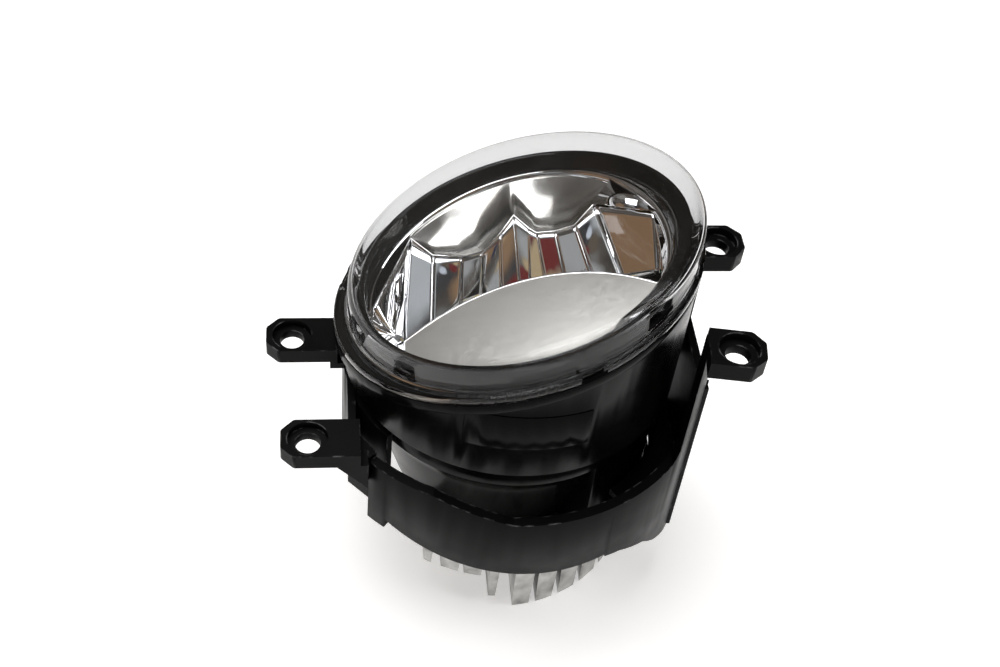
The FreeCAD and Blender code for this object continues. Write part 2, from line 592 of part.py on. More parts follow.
def mounting_bracket():
    left_out, left_in = LEFT_WALL
    right_in, right_out = RIGHT_WALL
    walls = [
        front_band(),
        prism([(-40.3, -38.9), (-38.2, -37.0), (left_in, -30.0), (left_in, 21.0), (left_out, 21.0),
               (left_out, -33.5)], -46, -29.0),
        tube(44.8, 46.6, -58.0, -30.9).common(sector(174, 221, 80, -80, 0)),
        box(right_in, right_out, -28.0, 8.0, -63, -16),
        box(right_in, right_out, -28.0, -20.0, -77, -60),
        box(right_in, right_out, -1.6, 10.8, -20, EARS["upper_right"][2] - 1.0),
        box(right_in, right_out, 10.0, 21.0, -52, -33),
        tube(50.2, 53.0, -52, -42).common(sector(21, 156, 80, -80, 0)),
        box(left_out, left_in, 15.0, 27.0, -52, -42),
        cyl(7.0, -52, -42, 0, AIM_Y),
    ]
    ul, ll, ur, lr = (EARS[k] for k in ("upper_left", "lower_left", "upper_right", "lower_right"))
    walls.append(ear_blank(*ul, 16.0))
    walls.append(box(-50, left_in, ul[1] - EAR_DEPTH / 2, ul[1] + EAR_DEPTH / 2, -32, ul[2]))
    walls.append(ear_blank(*ll, 13.5))
    walls.append(ear_blank(*ur, 5.5))
    walls.append(ear_blank(*lr, 7.5))
    root = [(-49.0, ll[2] - ll[3] + 0.5), (-40.5, ll[2] - ll[3] + 0.5), (-40.5, -38.5), (-44.0, -34.5)]
    walls.append(prism_y(root, ll[1] - EAR_DEPTH / 2, -36.5))
    for x0, x1 in ((left_out, left_in), (right_in, right_out)):
        walls.append(xcyl(7.0, x0, x1, PIVOT_Y, PIVOT_Z))
    body = fuse(walls)
    clear = cyl(48.3, -30.0, EARS["upper_left"][2] + 1).common(box(-60, 0, -60, 60, -40, 0))
    tools = [clear] + ear_holes()
    tools.append(xcyl(BUSH_R, -60, -40, PIVOT_Y, PIVOT_Z))
    tools.append(xcyl(BUSH_R, 40, 60, PIVOT_Y, PIVOT_Z))
    tools.append(cyl(AIM_R + RUN, -60, 0, 0, AIM_Y))
    tools.append(cyl(4.8, -47.8, 0, 0, AIM_Y))
    return body.cut(tools[0]).cut(tools[1:])


def pivot_bushes():
    """Plain bushes pressed into the bracket's side walls."""
    bushes = []
    for side, (x0, x1) in ((-1, LEFT_WALL), (1, RIGHT_WALL)):
        sleeve = xcyl(BUSH_R, x0, x1, PIVOT_Y, PIVOT_Z)
        outside = x0 if side < 0 else x1
        flange = xcyl(5.4, min(outside, outside + side * BUSH_FLANGE_T),
                      max(outside, outside + side * BUSH_FLANGE_T), PIVOT_Y, PIVOT_Z)
        bushes.append(fuse([sleeve, flange]).cut(xcyl(PIVOT_R + RUN, -80, 80, PIVOT_Y, PIVOT_Z)))
    return Part.makeCompound(bushes)


def pivot_screws():
    """Shouldered screws: the shoulder turns in the bush, the thread holds in the housing."""
    screws = []
    for side, outside in ((-1, LEFT_WALL[0]), (1, RIGHT_WALL[1])):
        seat = outside + side * (BUSH_FLANGE_T + 0.3)
        boss = PIVOT_BOSS_END[side]
        shoulder = xcyl(PIVOT_R, min(seat, boss), max(seat, boss), PIVOT_Y, PIVOT_Z)
        thread = xcyl(PIVOT_SCREW_R, min(boss, boss - side * 8), max(boss, boss - side * 8), PIVOT_Y, PIVOT_Z)
        head = xcyl(4.4, min(seat, seat + side * 2.4), max(seat, seat + side * 2.4), PIVOT_Y, PIVOT_Z)
        drive = [box(min(seat + side, seat + side * 4), max(seat + side, seat + side * 4),
                     PIVOT_Y - a, PIVOT_Y + a, PIVOT_Z - b, PIVOT_Z + b) for a, b in ((2.2, 0.5), (0.5, 2.2))]
        screws.append(fuse([shoulder, thread, head]).cut(drive))
    return Part.makeCompound(screws)


def aim_screw():
    shaft = cyl(AIM_R, -53.0, -24.5, 0, AIM_Y)
    corners = [polar(5.0, angle) for angle in range(0, 360, 60)]
    hexagon = [(x, AIM_Y + y) for x, y in corners]
    head = fuse([cyl(5.6, -53.8, -52.2, 0, AIM_Y), prism(hexagon, -59.0, -53.6)])
    groove = tube(AIM_R - 0.5, AIM_R + 1, -47.7, -46.9, 0, AIM_Y)
    return fuse([shaft, head]).cut(groove)


def aim_screw_clip():
    """Open retaining ring in the screw's groove."""
    ring = tube(AIM_R - 0.5, 4.3, -47.7, -46.9, 0, AIM_Y)
    return ring.cut(box(-1.3, 1.3, AIM_Y, AIM_Y + 6, -50, -40))


def aim_nut():
    half = NUT_W / 2
    block = box(-half, half, AIM_Y - half, AIM_Y + half, NUT_Z - NUT_H / 2, NUT_Z + NUT_H / 2)
    return block.cut(cyl(AIM_R + RUN, -60, 0, 0, AIM_Y))


# ---- output -------------------------------------------------------------------------------------
def housing_with_details():
    return fuse([lamp_housing(), pad_plate(), breather_spigot()])


PARTS = {
    "outer_lens": outer_lens,
    "lens_seal": lens_seal,
    "inner_bezel": inner_bezel,
    "reflector": reflector,
    "reflector_screws": reflector_screws,
    "shelf_cover": shelf_cover,
    "led_board": led_board,
    "led_chips": led_chips,
    "thermal_pad": thermal_pad,
    "board_screws": board_screws,
    "lamp_housing": housing_with_details,
    "breather_cap": breather_cap,
    "heat_sink": heat_sink,
    "heat_sink_gasket": heat_sink_gasket,
    "heat_sink_screws": heat_sink_screws,
    "driver_board": driver_board,
    "driver_components": driver_components,
    "driver_screws": driver_screws,
    "led_ribbon": led_ribbon,
    "connector_socket": connector_socket,
    "connector_pins": connector_pins,
    "connector_seal": connector_seal,
    "mounting_bracket": mounting_bracket,
    "pivot_bushes": pivot_bushes,
    "pivot_screws": pivot_screws,
    "aim_screw": aim_screw,
    "aim_screw_clip": aim_screw_clip,
    "aim_nut": aim_nut,
}

os.makedirs("parts", exist_ok=True)
for node, make in PARTS.items():
    write(node, make())
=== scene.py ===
"""LED fog light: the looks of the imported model. Metres, in the CAD frame: +Z out of the lens."""
import bpy
import json
import math
from mathutils import Matrix, Vector


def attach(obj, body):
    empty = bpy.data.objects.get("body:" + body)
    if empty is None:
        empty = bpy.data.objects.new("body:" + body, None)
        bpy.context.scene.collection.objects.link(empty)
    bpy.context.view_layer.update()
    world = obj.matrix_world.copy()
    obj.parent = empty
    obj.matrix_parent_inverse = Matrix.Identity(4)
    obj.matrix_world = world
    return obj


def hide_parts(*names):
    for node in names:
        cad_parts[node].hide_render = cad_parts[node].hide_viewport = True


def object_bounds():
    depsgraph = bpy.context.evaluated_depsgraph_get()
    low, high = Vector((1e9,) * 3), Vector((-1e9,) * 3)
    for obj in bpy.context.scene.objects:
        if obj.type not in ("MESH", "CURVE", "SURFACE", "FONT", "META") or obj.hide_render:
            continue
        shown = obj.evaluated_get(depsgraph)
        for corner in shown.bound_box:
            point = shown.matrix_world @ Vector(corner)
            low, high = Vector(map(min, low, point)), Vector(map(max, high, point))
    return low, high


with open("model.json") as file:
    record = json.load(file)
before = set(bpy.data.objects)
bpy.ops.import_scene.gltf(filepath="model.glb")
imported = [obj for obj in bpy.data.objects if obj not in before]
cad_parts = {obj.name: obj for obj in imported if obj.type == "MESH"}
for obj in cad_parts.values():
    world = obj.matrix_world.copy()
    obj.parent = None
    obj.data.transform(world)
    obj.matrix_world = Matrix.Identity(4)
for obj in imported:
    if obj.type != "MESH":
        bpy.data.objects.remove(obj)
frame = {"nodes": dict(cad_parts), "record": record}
NODES = frame["nodes"]
MM = 0.001
CAD_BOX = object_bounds()

# Sloping planes of the lamp, in millimetres: rise along X, rise along Y, height on the axis.
RIM = (0.335, -0.136, 0.0)
FACE = (0.356, -0.070, 12.3)
BEZEL_TOP = (0.355, -0.110, 7.6)
BEZEL_LIP = (0.410, -0.130, 3.9)
MIRROR = (0.410, 0.0, -1.3)
LENS_R, LENS_T, FLANGE_R, FLANGE_T = 45.4, 1.0, 48.0, 2.4
BEZEL_OUT = 42.4
AXIS = (0.0, 0.0)
FLANGE_AT = (-1.0, 0.6)
OPTICS_AT = (-0.9, 0.0)
MIRROR_R = 39.8
BEZEL_R = 39.2
TURN = 2 * math.pi


# ---- camera, floor and light ------------------------------------------------------------------
# Elevation, compass angle and roll in degrees; place in millimetres.
CAMERA_ANGLES = (46.654, -10.467, 7.240)
CAMERA_AT = (-52.34, -266.79, 263.48)
CAMERA_LENS, SENSOR_WIDTH = 51.20, 36.0


def make_camera():
    """The photograph's viewing angle."""
    elevation, azimuth, roll = (math.radians(a) for a in CAMERA_ANGLES)
    forward = Vector((-math.sin(azimuth) * math.cos(elevation),
                      math.cos(azimuth) * math.cos(elevation),
                      -math.sin(elevation)))
    right = Vector((math.cos(azimuth), math.sin(azimuth), 0))
    down = forward.cross(right)
    turned_right = right * math.cos(roll) - down * math.sin(roll)
    turned_down = right * math.sin(roll) + down * math.cos(roll)
    camera = bpy.data.objects.new("camera", bpy.data.cameras.new("camera"))
    camera.data.lens = CAMERA_LENS
    camera.data.sensor_width = SENSOR_WIDTH
    camera.data.clip_start = 0.01
    axes = Matrix((turned_right, -turned_down, -forward)).transposed().to_4x4()
    camera.matrix_world = Matrix.Translation(Vector(CAMERA_AT) * MM) @ axes
    bpy.context.scene.collection.objects.link(camera)
    bpy.context.scene.camera = camera


def area_light(name, place, size, power):
    """A square white lamp turned towards the part."""
    data = bpy.data.lights.new(name, "AREA")
    data.energy = power
    data.size = size
    lamp = bpy.data.objects.new(name, data)
    lamp.location = place
    lamp.rotation_euler = (-Vector(place)).to_track_quat("-Z", "Y").to_euler()
    bpy.context.scene.collection.objects.link(lamp)


# Patches of the studio that the chrome sees: compass angle from the camera's side towards +X,
# elevation, half-width (all in degrees), colour.
ROOM = (
    (-30, 54, 13, (0.05, 0.05, 0.055)), (-33, 52, 3, (0.80, 0.86, 0.95)),
    (-56, 60, 10, (0.66, 0.69, 0.71)), (-51, 24, 9, (0.50, 0.51, 0.51)),
    (-43, 46, 5, (0.15, 0.12, 0.09)), (-34, 39, 5, (0.20, 0.02, 0.02)),
    (-41, 32, 4, (0.62, 0.48, 0.28)), (4, 36, 16, (0.36, 0.22, 0.12)),
    (-16, 31, 3, (0.03, 0.04, 0.09)), (24, 40, 8, (0.56, 0.38, 0.22)),
    (-82, 12, 16, (0.34, 0.21, 0.12)), (-148, 36, 16, (0.34, 0.33, 0.31)),
    (-178, 38, 10, (0.10, 0.08, 0.06)), (100, 10, 17, (0.045, 0.035, 0.025)),
    (110, 4, 5, (0.28, 0.16, 0.08)), (136, 1, 9, (0.60, 0.36, 0.20)),
    (-100, 58, 8, (0.45, 0.30, 0.17)), (60, 60, 16, (0.30, 0.30, 0.30)))


def make_world():
    """A dim, warm studio with soft patches of light and colour."""
    world = bpy.data.worlds.new("studio")
    bpy.context.scene.world = world
    world.use_nodes = True
    tree = world.node_tree
    back = tree.nodes["Background"]
    place = tree.nodes.new("ShaderNodeTexCoord")
    cloud = tree.nodes.new("ShaderNodeTexNoise")
    cloud.inputs["Scale"].default_value = 3.0
    cloud.inputs["Detail"].default_value = 1.0
    tree.links.new(place.outputs["Generated"], cloud.inputs["Vector"])
    color = color_ramp(tree, cloud.outputs["Fac"], [
        (0.35, (0.05, 0.045, 0.04)), (0.55, (0.13, 0.115, 0.10)), (0.70, (0.22, 0.21, 0.20))])
    for compass, elevation, half, patch in ROOM:
        a, e = math.radians(compass), math.radians(elevation)
        towards = (math.sin(a) * math.cos(e), -math.cos(a) * math.cos(e), math.sin(e))
        dot = tree.nodes.new("ShaderNodeVectorMath")
        dot.operation = "DOT_PRODUCT"
        dot.inputs[1].default_value = towards
        tree.links.new(place.outputs["Generated"], dot.inputs[0])
        inside = map_range(tree, dot.outputs["Value"], math.cos(math.radians(half * 1.35)),
                           math.cos(math.radians(half * 0.7)), 0.0, 1.0)
        mix = tree.nodes.new("ShaderNodeMix")
        mix.data_type = "RGBA"
        tree.links.new(inside, mix.inputs["Factor"])
        tree.links.new(color, mix.inputs["A"])
        mix.inputs["B"].default_value = (*patch, 1)
        color = mix.outputs["Result"]
    tree.links.new(color, back.inputs["Color"])
    back.inputs["Strength"].default_value = 1.0


def make_stage():
    """White floor, faintly glowing so that the part's shadow stays light, and two soft lamps."""
    mesh = bpy.data.meshes.new("floor")
    half, gap = 3.0, 0.0002
    z = CAD_BOX[0][2] - gap
    corners = [(-half, -half, z), (half, -half, z), (half, half, z), (-half, half, z)]
    mesh.from_pydata(corners, [], [(0, 1, 2, 3)])
    floor = bpy.data.objects.new("floor", mesh)
    bpy.context.scene.collection.objects.link(floor)
    white = plain("floor_white", (0.85, 0.85, 0.85), roughness=0.9, specular=0.1)
    shader_of(white).inputs["Emission Color"].default_value = (1, 1, 1, 1)
    shader_of(white).inputs["Emission Strength"].default_value = 0.45
    floor.data.materials.append(white)
    area_light("overhead", (-0.30, 0.15, 1.20), 1.0, 17.0)
    area_light("side", (0.9, -0.3, 0.9), 0.5, 4.0)
    bpy.context.scene.view_settings.view_transform = "Standard"


# ---- node helpers -----------------------------------------------------------------------------
def color_ramp(tree, socket, stops):
    ramp = tree.nodes.new("ShaderNodeValToRGB")
    elements = ramp.color_ramp.elements
    while len(elements) > 1:
        elements.remove(elements[-1])
    elements[0].position = stops[0][0]
    elements[0].color = (*stops[0][1], 1)
    for position, color in stops[1:]:
        elements.new(position).color = (*color, 1)
    tree.links.new(socket, ramp.inputs["Fac"])
    return ramp.outputs["Color"]


def map_range(tree, socket, from_low, from_high, to_low, to_high):
    node = tree.nodes.new("ShaderNodeMapRange")
    names = ("From Min", "From Max", "To Min", "To Max")
    for name, value in zip(names, (from_low, from_high, to_low, to_high)):
        node.inputs[name].default_value = value
    tree.links.new(socket, node.inputs["Value"])
    return node.outputs["Result"]


def noise(tree, scale, detail):
    place = tree.nodes.new("ShaderNodeTexCoord")
    texture = tree.nodes.new("ShaderNodeTexNoise")
    texture.inputs["Scale"].default_value = scale
    texture.inputs["Detail"].default_value = detail
    tree.links.new(place.outputs["Object"], texture.inputs["Vector"])
    return texture.outputs["Fac"]


def bump(tree, shader, height, distance):
    node = tree.nodes.new("ShaderNodeBump")
    node.inputs["Distance"].default_value = distance
    node.inputs["Strength"].default_value = 1.0
    tree.links.new(height, node.inputs["Height"])
    tree.links.new(node.outputs["Normal"], shader.inputs["Normal"])


def edge_mask(tree, radius):
    """1 on the edges of a shape, 0 on its flats."""
    soft = tree.nodes.new("ShaderNodeBevel")
    soft.inputs["Radius"].default_value = radius
    plain_normal = tree.nodes.new("ShaderNodeNewGeometry")
    dot = tree.nodes.new("ShaderNodeVectorMath")
    dot.operation = "DOT_PRODUCT"
    tree.links.new(soft.outputs["Normal"], dot.inputs[0])
    tree.links.new(plain_normal.outputs["Normal"], dot.inputs[1])
    return map_range(tree, dot.outputs["Value"], 0.97, 0.80, 0.0, 1.0)


def times(tree, a, b):
    node = tree.nodes.new("ShaderNodeMath")
    node.operation = "MULTIPLY"
    tree.links.new(a, node.inputs[0])
    tree.links.new(b, node.inputs[1])
    return node.outputs["Value"]


# ---- materials --------------------------------------------------------------------------------
def plain(name, color, metallic=0.0, roughness=0.4, specular=0.5):
    m = bpy.data.materials.new(name)
    m.use_nodes = True
    p = m.node_tree.nodes["Principled BSDF"]
    p.inputs["Base Color"].default_value = (*color, 1)
    p.inputs["Metallic"].default_value = metallic
    p.inputs["Roughness"].default_value = roughness
    p.inputs["Specular IOR Level"].default_value = specular
    return m


def shader_of(m):
    return m.node_tree.nodes["Principled BSDF"]


def black_plastic(name, color, rough_low, rough_high, grain, specular, wear_and_glint=0.0):
    """Moulded black plastic: fine grain, uneven gloss and, when asked for, pale edges that are
    partly real scuffing and partly a painted edge highlight.
    """
    m = plain(name, color, specular=specular)
    tree, p = m.node_tree, shader_of(m)
    gloss = map_range(tree, noise(tree, 55.0, 4.0), 0.35, 0.65, rough_low, rough_high)
    tree.links.new(gloss, p.inputs["Roughness"])
    bump(tree, p, noise(tree, 2600.0, 2.0), grain)
    if wear_and_glint:
        # Pale edges: partly real scuffing, partly a painted highlight standing in for glints along
        # the edges.
        worn_and_glint = map_range(tree, noise(tree, 240.0, 5.0), 0.52, 0.66, 0.0, wear_and_glint)
        scuff_and_glint = times(tree, edge_mask(tree, 0.0007), worn_and_glint)
        mix = tree.nodes.new("ShaderNodeMix")
        mix.data_type = "RGBA"
        tree.links.new(scuff_and_glint, mix.inputs["Factor"])
        mix.inputs["A"].default_value = (*color, 1)
        mix.inputs["B"].default_value = (0.30, 0.30, 0.31, 1)
        tree.links.new(mix.outputs["Result"], p.inputs["Base Color"])
    return m


def clear_plastic(name, tint):
    """Clear moulded plastic. Rays from lamps pass straight through it."""
    m = bpy.data.materials.new(name)
    m.use_nodes = True
    tree = m.node_tree
    glass = shader_of(m)
    glass.inputs["Base Color"].default_value = (*tint, 1)
    glass.inputs["Transmission Weight"].default_value = 1.0
    glass.inputs["Roughness"].default_value = 0.0
    glass.inputs["IOR"].default_value = 1.28
    open_way = tree.nodes.new("ShaderNodeBsdfTransparent")
    path = tree.nodes.new("ShaderNodeLightPath")
    mix = tree.nodes.new("ShaderNodeMixShader")
    tree.links.new(path.outputs["Is Shadow Ray"], mix.inputs["Fac"])
    tree.links.new(glass.outputs[0], mix.inputs[1])
    tree.links.new(open_way.outputs[0], mix.inputs[2])
    tree.links.new(mix.outputs[0], tree.nodes["Material Output"].inputs["Surface"])
    return m


def mirror_coat(name, color, roughness):
    """Vacuum-metallised plastic: a bright mirror with a faint moulding wave."""
    m = plain(name, color, 1.0, roughness)
    bump(m.node_tree, shader_of(m), noise(m.node_tree, 120.0, 2.0), 0.00006)
    return m


def satin_coat(name):
    """Satin silver paint on the cover."""
    m = plain(name, (0.46, 0.45, 0.43), 0.85, 0.36)
    tree, p = m.node_tree, shader_of(m)
    gloss = map_range(tree, noise(tree, 700.0, 4.0), 0.3, 0.7, 0.30, 0.40)
    tree.links.new(gloss, p.inputs["Roughness"])
    bump(tree, p, noise(tree, 5200.0, 2.0), 0.00001)
    return m


def cast_metal(name):
    """Bare die casting: mottled grey and sandy, with dull darker patches at random."""
    m = plain(name, (0.6, 0.6, 0.6), 0.9, 0.4)
    tree, p = m.node_tree, shader_of(m)
    tone = color_ramp(tree, noise(tree, 160.0, 6.0), [
        (0.30, (0.20, 0.20, 0.19)), (0.48, (0.42, 0.42, 0.41)), (0.70, (0.62, 0.62, 0.60))])
    tree.links.new(tone, p.inputs["Base Color"])
    gloss = map_range(tree, noise(tree, 300.0, 4.0), 0.3, 0.7, 0.36, 0.58)
    tree.links.new(gloss, p.inputs["Roughness"])
    bump(tree, p, noise(tree, 900.0, 5.0), 0.00012)
    return m


def plated_steel(name):
    m = plain(name, (0.66, 0.65, 0.61), 1.0, 0.28)
    tree, p = m.node_tree, shader_of(m)
    gloss = map_range(tree, noise(tree, 900.0, 3.0), 0.3, 0.7, 0.2, 0.38)
    tree.links.new(gloss, p.inputs["Roughness"])
    return m


def tinted_plastic(name, color, roughness=0.45, metallic=0.0):
    m = plain(name, color, metallic, roughness)
    tree, p = m.node_tree, shader_of(m)
    gloss = map_range(tree, noise(tree, 400.0, 4.0), 0.3, 0.7, roughness * 0.8, roughness * 1.2)
    tree.links.new(gloss, p.inputs["Roughness"])
    bump(tree, p, noise(tree, 2200.0, 2.0), 0.00001)
    return m


def make_materials():
    return {
        "clear_lens": clear_plastic("clear_lens", (0.80, 0.805, 0.81)),
        "sealant": tinted_plastic("sealant", (0.01, 0.01, 0.01), 0.6),
        "gloss_black": black_plastic("gloss_black", (0.003, 0.003, 0.003), 0.04, 0.10,
                                     0.000002, 0.3),
        "reflector_chrome": mirror_coat("reflector_chrome", (0.88, 0.88, 0.89), 0.02),
        "cup_chrome": mirror_coat("cup_chrome", (0.58, 0.57, 0.55), 0.17),
        "satin_silver": satin_coat("satin_silver"),
        "zinc_steel": plated_steel("zinc_steel"),
        "board_white": tinted_plastic("board_white", (0.8, 0.8, 0.78)),
        "led_yellow": tinted_plastic("led_yellow", (0.85, 0.62, 0.12), 0.3),
        "pad_grey": tinted_plastic("pad_grey", (0.35, 0.37, 0.40), 0.7),
        "housing_black": black_plastic("housing_black", (0.002, 0.002, 0.0021), 0.12, 0.24,
                                       0.000004, 0.035),
        "soft_black": tinted_plastic("soft_black", (0.012, 0.012, 0.012), 0.7),
        "cast_aluminium": cast_metal("cast_aluminium"),
        "board_green": tinted_plastic("board_green", (0.02, 0.16, 0.06), 0.35),
        "component_grey": tinted_plastic("component_grey", (0.05, 0.05, 0.055), 0.4),
        "ribbon_white": tinted_plastic("ribbon_white", (0.8, 0.8, 0.82), 0.5),
        "brass_pins": tinted_plastic("brass_pins", (0.78, 0.60, 0.30), 0.25, 1.0),
        # The bracket's pale edges are partly real scuffing and partly a painted edge highlight.
        "bracket_black": black_plastic("bracket_black", (0.002, 0.002, 0.0021), 0.30, 0.46,
                                       0.00001, 0.07, wear_and_glint=0.5),
        "bush_white": tinted_plastic("bush_white", (0.78, 0.75, 0.66), 0.4),
    }


# ---- mesh helpers -----------------------------------------------------------------------------
def height(plane, x, y):
    return plane[0] * x + plane[1] * y + plane[2]


def make_piece(name, verts, faces, material, body, node, sharp=40.0):
    """A piece from points in millimetres, riding on a body in place of a CAD node."""
    mesh = bpy.data.meshes.new(name)
    mesh.from_pydata([(x * MM, y * MM, z * MM) for x, y, z in verts], [], faces)
    mesh.validate()
    mesh.update()
    for polygon in mesh.polygons:
        polygon.use_smooth = True
    mesh.set_sharp_from_angle(angle=math.radians(sharp))
    piece = bpy.data.objects.new(name, mesh)
    bpy.context.scene.collection.objects.link(piece)
    mesh.materials.append(material)
    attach(piece, body)
    if node:
        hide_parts(node)
    return piece


def ring_point(angle, r, plane, lift, at):
    x, y = at[0] + r * math.cos(angle), at[1] + r * math.sin(angle)
    return x, y, height(plane, x, y) + lift


def ring_mesh(profile, segments=288):
    """A closed profile carried round the lamp. Each point of it is (radius, plane, lift, centre)."""
    verts, faces = [], []
    count = len(profile)
    for k in range(segments):
        angle = TURN * k / segments
        for r, plane, lift, at in profile:
            verts.append(ring_point(angle, r, plane, lift, at))
    for k in range(segments):
        a, b = k * count, ((k + 1) % segments) * count
        for i in range(count):
            j = (i + 1) % count
            faces.append((a + i, b + i, b + j, a + j))
    return verts, faces


def arc(r, lift, radius, start, end, steps):
    """Points of a round corner about (r, lift), from start to end degrees in the profile's plane."""
    points = []
    for k in range(steps + 1):
        angle = math.radians(start + (end - start) * k / steps)
        points.append((r + radius * math.cos(angle), lift + radius * math.sin(angle)))
    return points


# ---- lens ---------------------------------------------------------------------------------------
CROWN = 2.0
SKIRT_DROP = 6.2                    # how far the lens wall reaches below the rim plane
FLANGE_STARTS = 0.3                 # the flange has its own centre, from this far outside the lens
FLANGE_NOTCHES = (-73.0, -20.0, 107.0, 160.0)
NOTCH_HALF, NOTCH_DEPTH = 4.0, 1.1
TEETH_AT, TEETH_HALF = -100.0, 17.0
TOOTH_DEPTH, TOOTH_PITCH = 0.16, 0.11


def crown_lift(r):
    """How far the crowned face stands above the face plane."""
    return CROWN * (1 - (r / LENS_R) ** 2)


def angle_between(degrees, other):
    return (degrees - other + 180) % 360 - 180


def flange_cut(angle, r):
    """Moulded notches and a short run of fine teeth in the flange's outer edge."""
    if r < FLANGE_R - 0.3:
        return 0.0
    degrees = math.degrees(angle)
    for notch in FLANGE_NOTCHES:
        if abs(angle_between(degrees, notch)) < NOTCH_HALF:
            return -NOTCH_DEPTH
    offset = angle_between(degrees, TEETH_AT)
    if abs(offset) < TEETH_HALF:
        return -TOOTH_DEPTH * (1 + math.sin(math.radians(offset) * FLANGE_R / TOOTH_PITCH))
    return 0.0


def make_lens(materials):
    """Clear lens in one closed profile: crowned face, rolled edge, skirt and notched flange."""
    round_r, inner_round_r, rings = 3.4, 1.2, 14
    profile = [(0.0, FACE, CROWN)]
    for k in range(1, rings + 1):
        r = (LENS_R - round_r) * k / rings
        profile.append((r, FACE, crown_lift(r)))
    edge = crown_lift(LENS_R - round_r)
    for r, lift in arc(LENS_R - round_r, edge - round_r, round_r, 84, 0, 8):
        profile.append((r, FACE, lift))
    profile += [(LENS_R, RIM, 1.1), (LENS_R + 0.1, RIM, 0.5), (LENS_R + 0.5, RIM, 0.1)]
    profile += [(FLANGE_R - 0.5, RIM, 0.0), (FLANGE_R - 0.15, RIM, -0.12), (FLANGE_R, RIM, -0.5)]
    profile += [(FLANGE_R, RIM, -FLANGE_T + 0.4), (FLANGE_R - 0.3, RIM, -FLANGE_T)]
    inner_r = LENS_R - LENS_T
    profile += [(LENS_R, RIM, -FLANGE_T), (LENS_R, RIM, -SKIRT_DROP), (inner_r, RIM, -SKIRT_DROP)]
    inner_edge = crown_lift(inner_r) - LENS_T
    for r, lift in arc(inner_r - inner_round_r, inner_edge - inner_round_r, inner_round_r, 0, 84, 4):
        profile.append((r, FACE, lift))
    for k in range(rings - 1, 0, -1):
        r = (inner_r - inner_round_r - 0.2) * k / rings
        profile.append((r, FACE, crown_lift(r) - LENS_T))
    profile.append((0.0, FACE, CROWN - LENS_T))
    verts, faces = open_ring(profile, 720)
    make_piece("clear_outer_lens", verts, faces, materials["clear_lens"], "lamp", "outer_lens",
               50)


def open_ring(profile, segments):
    """Like ring_mesh, for a profile whose two ends lie on the axis, closed by fans."""
    inner = profile[1:-1]
    verts, faces = [], []
    count = len(inner)
    for k in range(segments):
        angle = TURN * k / segments
        for r, plane, lift in inner:
            at = FLANGE_AT if r > LENS_R + FLANGE_STARTS else AXIS
            verts.append(ring_point(angle, r + flange_cut(angle, r), plane, lift, at))
    top, bottom = len(verts), len(verts) + 1
    verts.append((0, 0, profile[0][1][2] + profile[0][2]))
    verts.append((0, 0, profile[-1][1][2] + profile[-1][2]))
    for k in range(segments):
        a, b = k * count, ((k + 1) % segments) * count
        for i in range(count - 1):
            faces.append((a + i, a + i + 1, b + i + 1, b + i))
        faces.append((top, a, b))
        faces.append((bottom, b + count - 1, a + count - 1))
    return verts, faces


# ---- bezel ------------------------------------------------------------------------------------
BEZEL_SEAM = 0.35                   # gap over the reflector's rim
BEZEL_FOOT_R, BEZEL_FOOT = 40.4, -2.2


def make_bezel(materials):
    """Glossy black ring from the lens wall down to the reflector's rim."""
    rim = ((BEZEL_OUT, -0.2), (BEZEL_OUT - 0.3, 0.0), (BEZEL_OUT - 1.0, -0.05),
           (BEZEL_OUT - 1.5, -0.6))
    profile = [(r, BEZEL_TOP, lift, AXIS) for r, lift in rim]
    lip = ((BEZEL_R + 0.9, 0.75), (BEZEL_R + 0.35, 0.2), (BEZEL_R, -0.5))
    profile += [(r, BEZEL_LIP, lift, OPTICS_AT) for r, lift in lip]
    profile += [(r, MIRROR, BEZEL_SEAM, OPTICS_AT) for r in (BEZEL_R, BEZEL_FOOT_R)]
    profile += [(r, RIM, BEZEL_FOOT, AXIS) for r in (BEZEL_FOOT_R, BEZEL_OUT)]
    verts, faces = ring_mesh(profile)
    make_piece("black_inner_bezel", verts, faces, materials["gloss_black"], "lamp", "inner_bezel",
               60)


# ---- reflector --------------------------------------------------------------------------------
RIM_DROP = 0.9
BOWL_R = 38.0
FOOT_REACH = 1.25
# Edge between the faceted wall and the two cups, left to right: x, y, drop under the rim plane,
# compass angle of the rim point behind it, then the foot of the facet edge: x, y, drop. None
# stands where there is no such point. These numbers and LEFT_END's weren't designed here: they
# come from points picked in the photograph and laid on the planes above.
RIDGE = (
    (-27.0, 26.7, 0.9, 135, -29.3, 3.7, 14),
    (-20.9, 20.9, 4.5, 125, -21.3, 6.6, 14),
    (-13.1, 18.4, 6.0, 112, -13.2, 11.4, 14),
    (-7.7, 17.1, 5.0, 102, -7.7, 11.5, 14),
    (-2.4, 20.3, 2.6, 93, -2.3, 10.0, 14),
    (1.1, 23.8, 0.9, 88, 2.6, 10.1, 14),
    (5.0, 19.6, 3.5, 82, 5.4, 10.2, 14),
    (7.0, 18.3, 4.8, 78, 9.2, 9.6, 14),
    (12.0, 17.6, 5.6, 69, 14.3, 9.0, 14),
    (17.0, 16.7, 4.6, 60, 21.1, 7.3, 14),
    (22.2, 20.6, 2.6, 51, 28.0, 4.8, 14),
    (27.4, 26.4, 0.9, 44, None, None, None),
    (37.2, 8.8, 0.9, None, 37.0, -3.8, 12),
    (37.9, -1.0, 0.9, None, 37.2, -7.5, 7),
    (36.8, -8.5, 0.9, None, 36.0, -11.5, 3),
)
